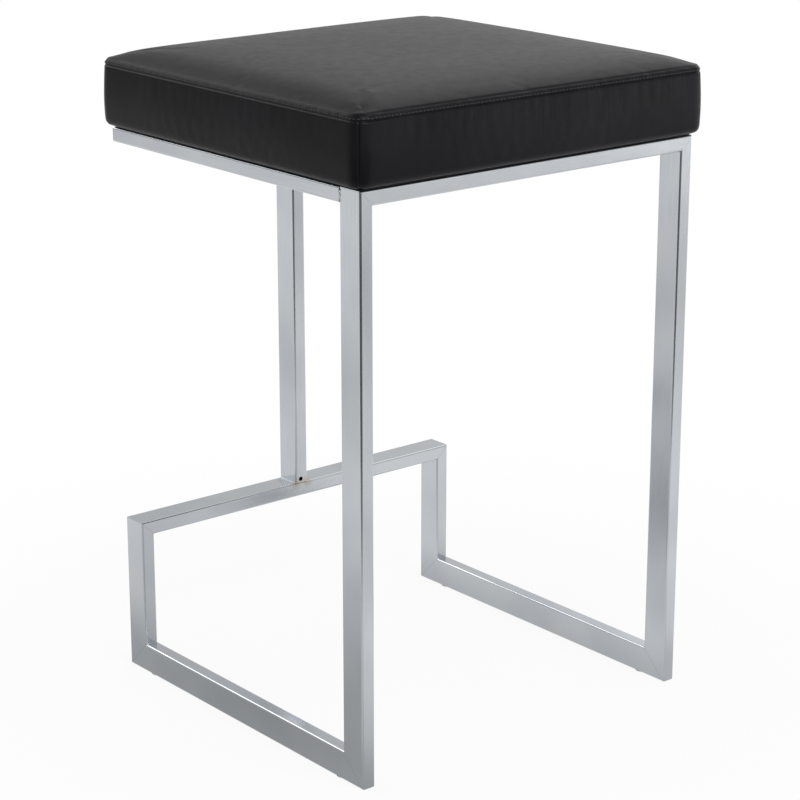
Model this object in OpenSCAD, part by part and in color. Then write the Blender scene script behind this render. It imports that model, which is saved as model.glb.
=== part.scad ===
// Backless counter stool: a square padded seat on a welded frame of flat rectangular tube.
// Two tall legs stand at the back (+Y). The front (-Y) has a low footrest bar and one centre post.
// The origin is on the floor under the middle of the seat, with +X to the right from the front.
// The seat pad is the form that needs most care: its crown, rolled edge and drawn-in band are
// lofted through rings, and the cover, the foam and the board all follow the same outline.

/* [Seat pad] */
// Width of the pad at its widest, side to side
seat_w = 440; // [380:1:520]
// Depth of the pad at its widest, front to back
seat_d = 420; // [360:1:500]
// Height from the floor to the top of the pad
seat_top_h = 670; // [600:1:800]
// Radius of the pad's corners in plan
seat_corner_r = 16; // [12:0.5:30]
// Rise of the crown above the crease round the top edge
crown_h = 16; // [6:0.5:26]
// Height of the side band, from the board's underside to its seam
band_h = 62; // [45:0.5:90]
// How far the foot of the band is drawn in from the widest outline
band_draw_in = 8; // [5:0.5:10]
// Height of the rolled edge between the band's seam and the crease
edge_roll_h = 6.4; // [4:0.2:9]
// How far the crease is drawn in from the widest outline
crease_draw_in = 4.6; // [3:0.2:7]
// Thickness of the leatherette cover
cover_t = 1; // [0.6:0.1:1.6]
// Width of the margin turned under the board
hem_w = 12; // [6:0.5:13]
// Space left between the foam and what touches it
foam_gap = 0.3; // [0.1:0.05:0.5]

/* [Seat board] */
// Thickness of the plywood board
board_t = 12; // [9:0.5:18]
// How far the board's edge lies inside the frame's outer faces
board_inset = 4; // [3:0.5:5]
// Corner radius of the board
board_corner_r = 10; // [4:0.5:20]
// Thickness of the non-woven dust cover
dust_t = 0.6; // [0.3:0.1:1]
// How far the dust cover's edge lies inside the frame's outer faces
dust_inset = 2; // [1:0.5:4]

/* [Frame] */
// How far the frame's outer faces lie inside the pad's widest outline
frame_inset = 10; // [9:0.5:16]
// Broad side of the rectangular tube
tube_broad = 30; // [26:1:36]
// Narrow side of the rectangular tube
tube_thin = 15; // [13:0.5:20]
// Wall of the tube
tube_wall = 1.2; // [0.8:0.1:1.8]
// Outer corner radius of the tube
tube_corner_r = 2; // [1.9:0.1:3]
// Height of the footrest bar's top face above the floor
footrest_top_h = 168; // [120:1:260]
// Diameter of the vent hole at the foot of the centre post
vent_d = 5; // [2:0.5:6]
// Height of the vent hole's centre above the footrest bar
vent_rise = 4.5; // [4:0.5:20]
// How far the vent hole lies to the right of the post's middle
vent_side = 1.5; // [0:0.5:2]

/* [Fasteners] */
// Distance of the bolts from the frame's outer faces, front and back
bolt_inset = 80; // [60:1:120]
// Diameter of the seat bolts
bolt_d = 6; // [5:1:6]
// Length of the seat bolts under the head
bolt_l = 28; // [26:1:29]
// Clearance on the diameter of the bolts' holes
bolt_play = 0.6; // [0.4:0.1:1]
// Diameter of the bolts' button heads
bolt_head_d = 10.5; // [9:0.5:12]
// Height of the bolts' button heads
bolt_head_h = 2.2; // [2:0.1:4]
// Width across the corners of the bolts' hexagon sockets
socket_d = 4.6; // [3:0.1:5]
// Depth of the bolts' hexagon sockets
socket_depth = 2; // [1:0.1:2.2]
// Outer diameter of the washers
washer_d = 14; // [12:0.5:18]
// Thickness of the washers
washer_t = 1; // [0.8:0.1:2]
// Diameter of the T-nuts' flanges
t_nut_flange_d = 18; // [14:0.5:22]
// Thickness of the T-nuts' flanges
t_nut_flange_t = 1.5; // [1:0.1:2]
// Outer diameter of the T-nuts' barrels
t_nut_barrel_d = 7.8; // [7.4:0.1:9]
// Length of the T-nuts' barrels under the flange
t_nut_barrel_l = 7; // [5:0.5:7.5]

/* [Floor glides] */
// Diameter of the glides' pads
glide_d = 13; // [9:0.5:13]
// Height of the glides' pads, which lifts the frame off the floor
glide_h = 1.2; // [1:0.1:5]
// Diameter of the glides' stems
glide_stem_d = 6; // [4:0.5:7]
// Length of the glides' stems above the pad
glide_stem_l = 7; // [4:0.5:10]
// Clearance on the diameter of the stems' holes
glide_play = 0.2; // [0.1:0.05:0.4]
// Distance from each end of the floor rail to the glide's centre
glide_inset = 40; // [32:1:120]

/* [Hidden] */
$fn = 48;

// How far a cut runs past the faces that it crosses
cut_over = 1;
// Bevel at the rim of a glide's pad
glide_edge = 0.5;
// Running fit between a bolt and its T-nut, on the diameter
thread_play = 0.1;
// Space round a T-nut in the board, on the diameter
t_nut_play = 0.2;

// Levels, from the top of the pad down
crease_z = seat_top_h - crown_h;
seam_z = crease_z - edge_roll_h;
board_z = seam_z - band_h;
board_top_z = board_z + board_t;
hem_z = board_z - cover_t;
frame_top_z = hem_z - dust_t;

// Sizes of the frame over its tubes, and the axes of its upright tubes
frame_w = seat_w - 2 * frame_inset;
frame_d = seat_d - 2 * frame_inset;
frame_half_w = frame_w / 2;
frame_half_d = frame_d / 2;
side_axis_x = frame_half_w - tube_thin / 2;
end_axis_y = frame_half_d - tube_broad / 2;
flat_axis_x = frame_half_w - tube_broad / 2;
tube_inner_r = max(tube_corner_r - tube_wall, tube_wall / 4);

// The band's profile from its foot to its seam: height as a share of band_h, and draw as a share
// of band_draw_in
band_height_shares = [0, 0.04, 0.1, 0.22, 0.45, 0.7, 0.87, 0.95, 1];
band_draw_shares = [1, 0.62, 0.4, 0.25, 0.13, 0.03, 0, 0.08, 0.28];
seam_draw_in = band_draw_in * band_draw_shares[len(band_draw_shares) - 1];
// The rolled edge: its middle stands out from the seam by a share of the seam's draw
roll_height_share = 0.55;
roll_draw_share = 0.6;
// The crown's rings: their way from the crease to the middle, as a share
crown_reach_shares = [0.02, 0.06, 0.13, 0.25, 0.45, 0.75];
// How fast the crown levels off
crown_power = 5;
// Growth of the rings' corner radius towards the middle, for each millimetre of draw
crown_round_share = 0.6;
// The largest corner radius of a ring, as a share of its smaller half size
ring_round_share = 0.9;
// Steps in half of a corner, and steps along a straight side
corner_steps = 3;
side_steps = 4;
crown_reach = min(seat_w, seat_d) / 2 - crease_draw_in;

// Outline of the pad

// Points along one side of the pad, from the middle of one corner to the middle of the next
function side_points(side, draw, corner_r, z) =
    let (
        across = (side % 2 == 0 ? seat_w : seat_d) / 2 - draw,
        along = (side % 2 == 0 ? seat_d : seat_w) / 2 - draw,
        r = min(corner_r, ring_round_share * min(across, along)),
        straight = along - r,
        turn = 90 * side,
        local = [
            for (i = [0:corner_steps])
                let (a = -45 + 45 * i / corner_steps)
                [across - r + r * cos(a), -straight + r * sin(a)],
            for (i = [1:side_steps - 1])
                [across, straight * (2 * i / side_steps - 1)],
            for (i = [0:corner_steps])
                let (a = 45 * i / corner_steps)
                [across - r + r * cos(a), straight + r * sin(a)]
        ]
    )
    [for (p = local) [p.x * cos(turn) - p.y * sin(turn), p.x * sin(turn) + p.y * cos(turn), z]];

// A closed ring round the pad, made of its four sides
function pad_ring(draw, corner_r, z) = [
    for (side = [0:3])
        let (points = side_points(side, draw, corner_r, z))
        for (i = [0:len(points) - 2]) points[i]
];

// Draw, corner radius and height of each ring, for a skin that lies `inside` the outer surface
function band_levels(inside) = [
    for (i = [0:len(band_draw_shares) - 1])
        let (draw = band_draw_in * band_draw_shares[i] + inside)
        [draw, seat_corner_r - draw, board_z + band_h * band_height_shares[i]]
];

function roll_levels(inside) = [
    let (draw = seam_draw_in * roll_draw_share + inside)
        [draw, seat_corner_r - draw, seam_z + edge_roll_h * roll_height_share - inside / 2],
    [crease_draw_in + inside, seat_corner_r - crease_draw_in - inside, crease_z - inside]
];

function crown_levels(inside) = [
    for (share = crown_reach_shares)
        let (way = share * crown_reach, rise = 1 - pow(1 - share, crown_power))
        [
            crease_draw_in + way + inside,
            seat_corner_r - crease_draw_in - inside + crown_round_share * way,
            crease_z + crown_h * rise / top_rise - inside
        ]
];

// The last ring carries the flat middle, so the crown is scaled to end at its full height
top_rise = 1 - pow(1 - crown_reach_shares[len(crown_reach_shares) - 1], crown_power);

function rings_of(levels) = [for (l = levels) pad_ring(l[0], l[1], l[2])];
function reversed(list) = [for (i = [len(list) - 1:-1:0]) list[i]];
function without_first(list) = [for (i = [1:len(list) - 1]) list[i]];

// A closed solid through rings with the same number of points, with a flat cap at each end
module loft(rings) {
    n = len(rings[0]);
    last = len(rings) - 1;
    polyhedron(
        points = [for (ring = rings) each ring],
        faces = [
            for (j = [0:last - 1], i = [0:n - 1])
                let (a = j * n + i, b = j * n + (i + 1) % n, up = n)
                each [[a, a + up, b + up], [a, b + up, b]],
            [for (i = [0:n - 1]) i],
            [for (i = [n - 1:-1:0]) last * n + i]
        ]
    );
}

// Tubes of the frame

// A rectangle with round corners, built from bars and discs so that its corners are true arcs
module round_rect(size_x, size_y, corner_r) {
    square([size_x - 2 * corner_r, size_y], center = true);
    square([size_x, size_y - 2 * corner_r], center = true);
    for (sx = [-1, 1], sy = [-1, 1])
        translate([sx * (size_x / 2 - corner_r), sy * (size_y / 2 - corner_r)]) circle(r = corner_r);
}

// A straight tube along +Z with square ends
module tube(size_x, size_y, run) {
    linear_extrude(run) difference() {
        round_rect(size_x, size_y, tube_corner_r);
        round_rect(size_x - 2 * tube_wall, size_y - 2 * tube_wall, tube_inner_r);
    }
}

// Takes the end at z = 0 off at 45 degrees, and leaves the long tip on the side that `tip` names:
// 0 for +X, 90 for +Y, 180 for -X and -90 for -Y. Without a tip the end stays square.
module mitre_cut(size_x, size_y, tip) {
    if (!is_undef(tip)) {
        in_x = tip % 180 == 0;
        size = in_x ? size_x : size_y;
        across = in_x ? size_y : size_x;
        reach = size / 2 + cut_over;
        rotate([0, 0, tip]) rotate([90, 0, 0])
            linear_extrude(across + 2 * cut_over, center = true)
                polygon([[reach, -cut_over], [-reach, -cut_over], [-reach, size + cut_over]]);
    }
}

// A tube along +Z whose ends are square or mitred
module mitred_tube(size_x, size_y, run, foot_tip = undef, head_tip = undef) {
    difference() {
        tube(size_x, size_y, run);
        mitre_cut(size_x, size_y, foot_tip);
        translate([0, 0, run]) mirror([0, 0, 1]) mitre_cut(size_x, size_y, head_tip);
    }
}

// Puts a piece drawn on the right-hand side on the side given, 1 for right and -1 for left
module on_side(side) {
    if (side > 0) children();
    else mirror([1, 0, 0]) children();
}

// The four places of the seat bolts, through the middle of the flat side rails
module at_bolts() {
    for (sx = [-1, 1], sy = [-1, 1])
        translate([sx * flat_axis_x, sy * (frame_half_d - bolt_inset), 0]) children();
}

// The places of the glides along one floor rail
module at_glides() {
    for (sy = [-1, 1])
        translate([side_axis_x, sy * (frame_half_d - glide_inset), 0]) children();
}

module back_leg(side) {
    color("silver") on_side(side)
        translate([side_axis_x, end_axis_y, glide_h])
            mitred_tube(tube_thin, tube_broad, frame_top_z - glide_h, foot_tip = 90, head_tip = 0);
}

module footrest_upright(side) {
    color("silver") on_side(side)
        translate([side_axis_x, -end_axis_y, glide_h])
            mitred_tube(tube_thin, tube_broad, footrest_top_h - glide_h, foot_tip = -90, head_tip = 0);
}

// A tube from side to side, with its broad faces up and down and its top at a given height
module cross_tube(y, top_z, tip) {
    translate([-frame_half_w, y, top_z - tube_thin / 2]) rotate([0, 90, 0])
        mitred_tube(tube_thin, tube_broad, frame_w, foot_tip = tip, head_tip = tip);
}

module back_top_rail() {
    color("silver") cross_tube(end_axis_y, frame_top_z, 180);
}

module front_top_rail() {
    color("silver") cross_tube(-end_axis_y, frame_top_z, -90);
}

module footrest_bar() {
    color("silver") cross_tube(-end_axis_y, footrest_top_h, 180);
}

// The side rails lie flat between the front rail's mitres and the back rail's face
module top_rail(side) {
    color("silver") on_side(side) difference() {
        translate([flat_axis_x, -frame_half_d, frame_top_z - tube_thin / 2]) rotate([-90, 0, 0])
            mitred_tube(tube_broad, tube_thin, frame_d - tube_broad, foot_tip = 0);
        at_bolts() translate([0, 0, frame_top_z - tube_thin - cut_over])
            cylinder(d = bolt_d + bolt_play, h = tube_thin + 2 * cut_over);
    }
}

module floor_rail(side) {
    color("silver") on_side(side) difference() {
        translate([side_axis_x, -frame_half_d, glide_h + tube_broad / 2]) rotate([-90, 0, 0])
            mitred_tube(tube_thin, tube_broad, frame_d, foot_tip = 90, head_tip = 90);
        at_glides() translate([0, 0, glide_h - cut_over])
            cylinder(d = glide_stem_d + glide_play, h = tube_wall + 2 * cut_over);
    }
}

// The post stands on the footrest bar and reaches the front rail, with its vent hole at the back
module centre_post() {
    color("silver") difference() {
        translate([0, -end_axis_y, footrest_top_h])
            tube(tube_thin, tube_broad, frame_top_z - tube_thin - footrest_top_h);
        translate([vent_side, -end_axis_y, footrest_top_h + vent_rise]) rotate([-90, 0, 0])
            cylinder(d = vent_d, h = tube_broad / 2 + cut_over);
    }
}

module floor_glides() {
    color("dimgray") for (side = [-1, 1]) on_side(side) at_glides() {
        cylinder(d1 = glide_d - 2 * glide_edge, d2 = glide_d, h = glide_edge);
        translate([0, 0, glide_edge]) cylinder(d = glide_d, h = glide_h - glide_edge);
        translate([0, 0, glide_h]) cylinder(d = glide_stem_d, h = glide_stem_l);
    }
}

// Board and padding

module seat_board() {
    color("burlywood") difference() {
        translate([0, 0, board_z]) linear_extrude(board_t)
            round_rect(frame_w - 2 * board_inset, frame_d - 2 * board_inset, board_corner_r);
        at_bolts() {
            translate([0, 0, board_z - cut_over])
                cylinder(d = t_nut_barrel_d + t_nut_play, h = board_t + 2 * cut_over);
            translate([0, 0, board_top_z - t_nut_flange_t])
                cylinder(d = t_nut_flange_d + t_nut_play, h = t_nut_flange_t + cut_over);
        }
    }
}

// The foam is cut larger than the board and laps down round its edge
module seat_foam() {
    pocket_draw = frame_inset + board_inset - foam_gap;
    pocket_r = board_corner_r + foam_gap;
    skin = cover_t + foam_gap;
    color("khaki") loft(concat(
        rings_of([[pocket_draw, pocket_r, board_top_z], [pocket_draw, pocket_r, board_z]]),
        rings_of(band_levels(skin)), rings_of(roll_levels(skin)), rings_of(crown_levels(skin))
    ));
}

// The top panel runs over the rolled edge down to the band's seam
module cover_top_panel() {
    seam = [
        for (inside = [cover_t, 0])
            let (draw = seam_draw_in + inside)
            [draw, seat_corner_r - draw, seam_z]
    ];
    inner = concat(roll_levels(cover_t), crown_levels(cover_t));
    outer = concat(roll_levels(0), crown_levels(0));
    color([0.16, 0.16, 0.17]) loft(rings_of(concat(reversed(inner), seam, outer)));
}

// One strip of the band, from corner seam to corner seam, with its margin turned under the board
module cover_band(side) {
    foot_draw = band_draw_in;
    hem_draw = foot_draw + hem_w;
    foot_r = seat_corner_r - foot_draw;
    profile = concat(
        [[hem_draw, foot_r, hem_z], [foot_draw, foot_r, hem_z]],
        without_first(band_levels(0)),
        reversed(band_levels(cover_t)),
        [[hem_draw, foot_r, board_z]]
    );
    strips = [for (l = profile) side_points(side, l[0], l[1], l[2])];
    color([0.13, 0.13, 0.14])
        loft([for (i = [0:len(strips[0]) - 1]) [for (strip = strips) strip[i]]]);
}

module dust_cover() {
    color([0.2, 0.2, 0.2]) difference() {
        translate([0, 0, frame_top_z]) linear_extrude(dust_t)
            round_rect(frame_w - 2 * dust_inset, frame_d - 2 * dust_inset, board_corner_r);
        at_bolts() translate([0, 0, frame_top_z - cut_over])
            cylinder(d = bolt_d + bolt_play, h = dust_t + 2 * cut_over);
    }
}

// Fasteners

module t_nuts() {
    color("gray") at_bolts() translate([0, 0, board_top_z - t_nut_flange_t]) difference() {
        union() {
            cylinder(d = t_nut_flange_d, h = t_nut_flange_t);
            translate([0, 0, -t_nut_barrel_l]) cylinder(d = t_nut_barrel_d, h = t_nut_barrel_l);
        }
        translate([0, 0, -t_nut_barrel_l - cut_over])
            cylinder(d = bolt_d + thread_play, h = t_nut_barrel_l + t_nut_flange_t + 2 * cut_over);
    }
}

module washers() {
    washer_z = frame_top_z - tube_thin - washer_t;
    color("lightgray") at_bolts() translate([0, 0, washer_z]) difference() {
        cylinder(d = washer_d, h = washer_t);
        translate([0, 0, -cut_over]) cylinder(d = bolt_d + bolt_play, h = washer_t + 2 * cut_over);
    }
}

// Button heads with a hexagon socket, driven from below
module seat_bolts() {
    seat_z = frame_top_z - tube_thin - washer_t;
    dome_r = (pow(bolt_head_d / 2, 2) + pow(bolt_head_h, 2)) / (2 * bolt_head_h);
    color("dimgray") at_bolts() translate([0, 0, seat_z]) difference() {
        union() {
            cylinder(d = bolt_d, h = bolt_l);
            intersection() {
                translate([0, 0, dome_r - bolt_head_h]) sphere(r = dome_r);
                translate([0, 0, -bolt_head_h - cut_over])
                    cylinder(d = bolt_head_d + 2 * cut_over, h = bolt_head_h + cut_over);
            }
        }
        translate([0, 0, -bolt_head_h - cut_over])
            cylinder(d = socket_d, h = socket_depth + cut_over, $fn = 6);
    }
}

back_leg(1);  // back_right_leg
back_leg(-1);  // back_left_leg
back_top_rail();
front_top_rail();
top_rail(1);  // right_top_rail
top_rail(-1);  // left_top_rail
floor_rail(1);  // right_floor_rail
floor_rail(-1);  // left_floor_rail
footrest_upright(1);  // right_footrest_upright
footrest_upright(-1);  // left_footrest_upright
footrest_bar();
centre_post();
floor_glides();
seat_board();
seat_foam();
cover_top_panel();
cover_band(0);  // cover_right_band
cover_band(1);  // cover_back_band
cover_band(2);  // cover_left_band
cover_band(3);  // cover_front_band
dust_cover();
t_nuts();
washers();
seat_bolts();
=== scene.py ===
"""The looks of a backless counter stool: its seat pad, chromed tube frame, fasteners and studio.

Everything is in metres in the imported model's own frame. +Z is up, the origin lies on the floor
under the seat, and the footrest is on the -Y side.
"""

import logging
import math
from dataclasses import dataclass
from enum import Enum

import bmesh
import bpy
from mathutils import Matrix, Vector, noise
from mathutils.bvhtree import BVHTree


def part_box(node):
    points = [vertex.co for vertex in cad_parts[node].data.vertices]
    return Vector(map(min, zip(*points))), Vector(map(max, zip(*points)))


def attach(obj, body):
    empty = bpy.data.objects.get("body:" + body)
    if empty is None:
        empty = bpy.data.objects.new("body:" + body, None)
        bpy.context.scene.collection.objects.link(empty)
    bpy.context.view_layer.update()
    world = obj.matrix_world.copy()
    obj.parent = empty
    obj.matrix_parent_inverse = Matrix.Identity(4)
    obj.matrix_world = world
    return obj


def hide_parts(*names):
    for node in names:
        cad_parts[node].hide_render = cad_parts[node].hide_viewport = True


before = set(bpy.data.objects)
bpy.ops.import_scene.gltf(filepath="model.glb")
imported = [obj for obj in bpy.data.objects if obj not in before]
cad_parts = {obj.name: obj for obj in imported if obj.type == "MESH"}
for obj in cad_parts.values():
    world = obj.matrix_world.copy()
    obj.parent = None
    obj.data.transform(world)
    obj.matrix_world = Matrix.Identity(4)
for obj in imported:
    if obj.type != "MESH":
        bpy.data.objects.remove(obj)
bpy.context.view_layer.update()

MM = 0.001
NEAR = 0.2 * MM
WELD = 1e-6
TINY = 1e-9
BODY = "root"
LOG = logging.getLogger("stool")
UP = Vector((0, 0, 1))
WHITE = (1.0, 1.0, 1.0, 1.0)
SMOOTH = {"interpolation_type": "SMOOTHSTEP"}
# Nearly all values of a noise pattern lie in this span.
MIDDLE = (0.3, 0.7)

Colour = tuple[float, float, float, float]
Span = tuple[float, float]
Inputs = dict[str | int, object]
Tree = bpy.types.NodeTree
Node = bpy.types.Node
Socket = bpy.types.NodeSocket
Material = bpy.types.Material
Piece = bpy.types.Object
Form = bmesh.types.BMesh


def linear(hex_code: str) -> Colour:
    """Turns an sRGB hex colour into the linear values that shaders take.

    Args:
        hex_code: The colour as "#RRGGBB".

    Returns:
        Red, green, blue and an alpha of 1, in linear light.
    """
    parts = [int(hex_code[i : i + 2], 16) / 255 for i in (1, 3, 5)]
    red, green, blue = (p / 12.92 if p <= 0.04045 else ((p + 0.055) / 1.055) ** 2.4 for p in parts)
    return (red, green, blue, 1.0)


def add_node(tree: Tree, kind: str, inputs: Inputs | None = None, **settings: object) -> Node:
    """Adds one shader node with its settings and links.

    Args:
        tree: The node tree that takes the node.
        kind: Blender's type name of the node, without its leading "ShaderNode".
        inputs: By the input's name or number, a value, or the socket or node that feeds it. A node
            feeds it from its first live output.
        **settings: Properties of the node, by name.

    Returns:
        The new node.
    """
    node = tree.nodes.new(f"ShaderNode{kind}")
    for name, value in settings.items():
        setattr(node, name, value)
    for key, value in (inputs or {}).items():
        if isinstance(value, Node):
            value = next(socket for socket in value.outputs if socket.enabled)
        if isinstance(value, Socket):
            tree.links.new(value, node.inputs[key])
        else:
            node.inputs[key].default_value = value
    return node


def span(value: object, source: Span, target: tuple[object, object] = (0.0, 1.0)) -> Inputs:
    """Lists a map range's inputs, from one range to another."""
    return {"Value": value, 1: source[0], 2: source[1], 3: target[0], 4: target[1]}


def lumps(place: object, spacing: float, detail: float) -> Inputs:
    """Lists the inputs of a pattern whose lumps lie about a spacing apart, in metres."""
    return {"Vector": place, "Scale": 1 / spacing, "Detail": detail}


def shades(share: object, first: object, second: object) -> Inputs:
    """Lists a colour mix's inputs, with colours as hex codes or as what feeds them."""
    ends = [linear(end) if isinstance(end, str) else end for end in (first, second)]
    return {0: share, 6: ends[0], 7: ends[1]}


def product(tree: Tree, factors: list[object]) -> Node:
    """Multiplies what feeds a surface, in turn.

    Args:
        tree: The node tree that takes the nodes.
        factors: The nodes or sockets, in order.

    Returns:
        The last of the new nodes.
    """
    total = factors[0]
    for factor in factors[1:]:
        total = add_node(tree, "Math", {0: total, 1: factor}, operation="MULTIPLY")
    return total


def smoothstep(low: float, high: float, value: float) -> float:
    """Goes smoothly from 0 at low to 1 at high."""
    share = min(1.0, max(0.0, (value - low) / (high - low)))
    return share * share * (3 - 2 * share)


def bump_shape(distance: float, width: float) -> float:
    """A bell curve over a distance, 1 in its middle."""
    return math.exp(-((distance / width) ** 2))


def slice_faces(form: Form, faces: list[bmesh.types.BMFace], point: Vector, normal: Vector) -> None:
    """Cuts faces along a plane.

    Args:
        form: The shape that holds them.
        faces: The faces to cut, where the plane meets them.
        point: A point on the plane.
        normal: The plane's normal.
    """
    edges = dict.fromkeys(edge for face in faces for edge in face.edges)
    verts = dict.fromkeys(vert for face in faces for vert in face.verts)
    bmesh.ops.bisect_plane(form, geom=[*faces, *edges, *verts], dist=WELD, plane_co=point, plane_no=normal)


def new_object(name: str, form: Form, finish: Material) -> Piece:
    """Makes a smooth-shaded object of a bmesh, at the origin with its place in its mesh.

    Args:
        name: The object's name.
        form: The shape, which is freed.
        finish: The material of all its faces.

    Returns:
        The new object, linked to the scene.
    """
    mesh = bpy.data.meshes.new(name)
    form.to_mesh(mesh)
    form.free()
    mesh.polygons.foreach_set("use_smooth", [True] * len(mesh.polygons))
    mesh.materials.append(finish)
    made = bpy.data.objects.new(name, mesh)
    bpy.context.scene.collection.objects.link(made)
    return made


def new_piece(name: str, form: Form, finish: Material) -> Piece:
    """Makes a piece that rides on the stool.

    Args:
        name: The piece's name.
        form: The shape, which is freed.
        finish: The material of all its faces.

    Returns:
        The new piece.
    """
    bmesh.ops.recalc_face_normals(form, faces=form.faces)
    piece = new_object(name, form, finish)
    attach(piece, BODY)
    LOG.info("%s: %d faces", name, len(piece.data.polygons))
    return piece


def dress_node(name: str, finish: Material) -> None:
    """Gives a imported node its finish.

    Args:
        name: The node's name.
        finish: Its material.
    """
    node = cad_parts[name]
    node.data.materials.clear()
    node.data.materials.append(finish)
    LOG.info("%s is dressed in %s", name, finish.name)


@dataclass(frozen=True)
class Finish:
    """What every finish shares: its name, and a material whose patterns follow the object."""

    name: str

    def build(self) -> Material:
        """Builds the finish's material.

        Returns:
            The material.
        """
        material = bpy.data.materials.new(self.name)
        material.use_nodes = True
        tree = material.node_tree
        tree.nodes.clear()
        place = add_node(tree, "TexCoord").outputs["Object"]
        add_node(tree, "OutputMaterial", {"Surface": self.surface(tree, place)})
        return material

    def surface(self, tree: Tree, place: Socket) -> Node:
        """Adds the patterns and the shader, in each finish's own way, and gives the shader."""
        raise NotImplementedError

    def relief(self, tree: Tree, layers: list[tuple[Node, float]]) -> Node:
        """Chains bumps into one normal.

        Args:
            tree: The material's nodes.
            layers: Each layer's height, with its depth in metres.

        Returns:
            The last bump.
        """
        bump = None
        for height, depth in layers:
            inputs = {"Height": height, "Distance": depth, "Strength": 1.0}
            if bump is not None:
                inputs["Normal"] = bump
            bump = add_node(tree, "Bump", inputs)
        return bump


@dataclass(frozen=True)
class WeldPlane:
    """The plane of a welded joint, in coordinates with x folded to the right-hand side."""

    normal: Vector
    point: Vector
    reach: float


class Run(Enum):
    """The way that a tube runs, with the shares by which its belt streaks are squeezed."""

    ACROSS = (0.03, 1.0, 1.0)
    ALONG = (1.0, 0.03, 1.0)
    UPRIGHT = (1.0, 1.0, 0.03)


@dataclass(frozen=True)
class SatinChrome(Finish):
    """Chromium plate over belt-linished steel tube.

    Chromium returns a little over half of the light, so it reads as a mid grey and not as silver.
    The belt leaves a satin sheen with faint streaks along each tube, the welds are dressed flush
    and stay a little duller, and the heat of the last weld leaves a straw tint at the foot of the
    post. The belt's lines are finer than a pixel and are drawn about four times as wide.
    """

    name: str = "satin_chrome_plate"
    run: Run = Run.UPRIGHT
    plate: str = "#C5C9CD"
    dull_plate: str = "#BEC2C7"
    weld_tone: str = "#AEB2B6"
    straw: str = "#B5A08A"
    roughness: float = 0.2
    uneven_gloss: float = 0.03
    streak: float = 1.6 * MM
    streak_depth: float = 0.004 * MM
    cloud: float = 70 * MM
    wave: float = 12 * MM
    wave_depth: float = 0.02 * MM
    weld_half: float = 0.8 * MM
    weld_share: float = 0.35
    weld_roughness: float = 0.06
    joints: tuple[WeldPlane, ...] = ()
    tint_place: Vector = Vector((0, 0, 0))
    tint_span: Span = (3 * MM, 11 * MM)
    tint_share: float = 0.55
    tint_waver: float = 4 * MM

    def joint_mask(self, tree: Tree, folded: Node) -> Node:
        """Marks a narrow band along every welded joint.

        Args:
            tree: The material's nodes.
            folded: Object coordinates with x folded to the right-hand side.

        Returns:
            A node that is 1 on a joint and 0 away from it.
        """
        total = None
        for joint in self.joints:
            height = add_node(tree, "VectorMath", {0: folded, 1: joint.normal}, operation="DOT_PRODUCT")
            band = {0: height, 1: joint.normal.dot(joint.point), 2: self.weld_half}
            on_plane = add_node(tree, "Math", band, operation="COMPARE")
            away = add_node(tree, "VectorMath", {0: folded, 1: joint.point}, operation="DISTANCE")
            near = add_node(tree, "Math", {0: away, 1: joint.reach}, operation="LESS_THAN")
            mark = add_node(tree, "Math", {0: on_plane, 1: near}, operation="MULTIPLY")
            if total is not None:
                mark = add_node(tree, "Math", {0: total, 1: mark}, operation="MAXIMUM")
            total = mark
        return total

    def surface(self, tree: Tree, place: Socket) -> Node:
        """Adds the plate's tone, its streaks, the dull weld bands and the tint by the post.

        Args:
            tree: The material's nodes.
            place: The object coordinates.

        Returns:
            The shader.
        """
        axes = add_node(tree, "SeparateXYZ", {0: place}).outputs
        right = add_node(tree, "Math", {0: axes["X"]}, operation="ABSOLUTE")
        folded = add_node(tree, "CombineXYZ", {"X": right, "Y": axes["Y"], "Z": axes["Z"]})
        drawn = add_node(tree, "Mapping", {"Vector": place, "Scale": self.run.value})
        streaks = add_node(tree, "TexNoise", lumps(drawn, self.streak, 3.0))
        clouds = add_node(tree, "TexNoise", lumps(place, self.cloud, 1.0))
        waves = add_node(tree, "TexNoise", lumps(place, self.wave, 2.0))
        joint = self.joint_mask(tree, folded)
        away = add_node(tree, "VectorMath", {0: folded, 1: self.tint_place}, operation="DISTANCE")
        ragged = add_node(tree, "Math", {0: clouds, 1: self.tint_waver, 2: away}, operation="MULTIPLY_ADD")
        tint = add_node(tree, "MapRange", span(ragged, self.tint_span, (self.tint_share, 0.0)), **SMOOTH)

        patchy = add_node(tree, "MapRange", span(clouds, MIDDLE), **SMOOTH)
        tone = add_node(tree, "Mix", shades(patchy, self.plate, self.dull_plate), data_type="RGBA")
        dulled = add_node(tree, "Math", {0: joint, 1: self.weld_share}, operation="MULTIPLY")
        tone = add_node(tree, "Mix", shades(dulled, tone, self.weld_tone), data_type="RGBA")
        tone = add_node(tree, "Mix", shades(tint, tone, self.straw), data_type="RGBA")

        ends = (self.roughness - self.uneven_gloss, self.roughness + self.uneven_gloss)
        gloss = add_node(tree, "MapRange", span(streaks, MIDDLE, ends), **SMOOTH)
        duller = {0: joint, 1: self.weld_roughness, 2: gloss}
        gloss = add_node(tree, "Math", duller, operation="MULTIPLY_ADD")
        normal = self.relief(tree, [(waves, self.wave_depth), (streaks, self.streak_depth)])
        coat = {"Base Color": tone, "Roughness": gloss, "Metallic": 1.0, "Normal": normal}
        return add_node(tree, "BsdfPrincipled", coat)


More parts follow.
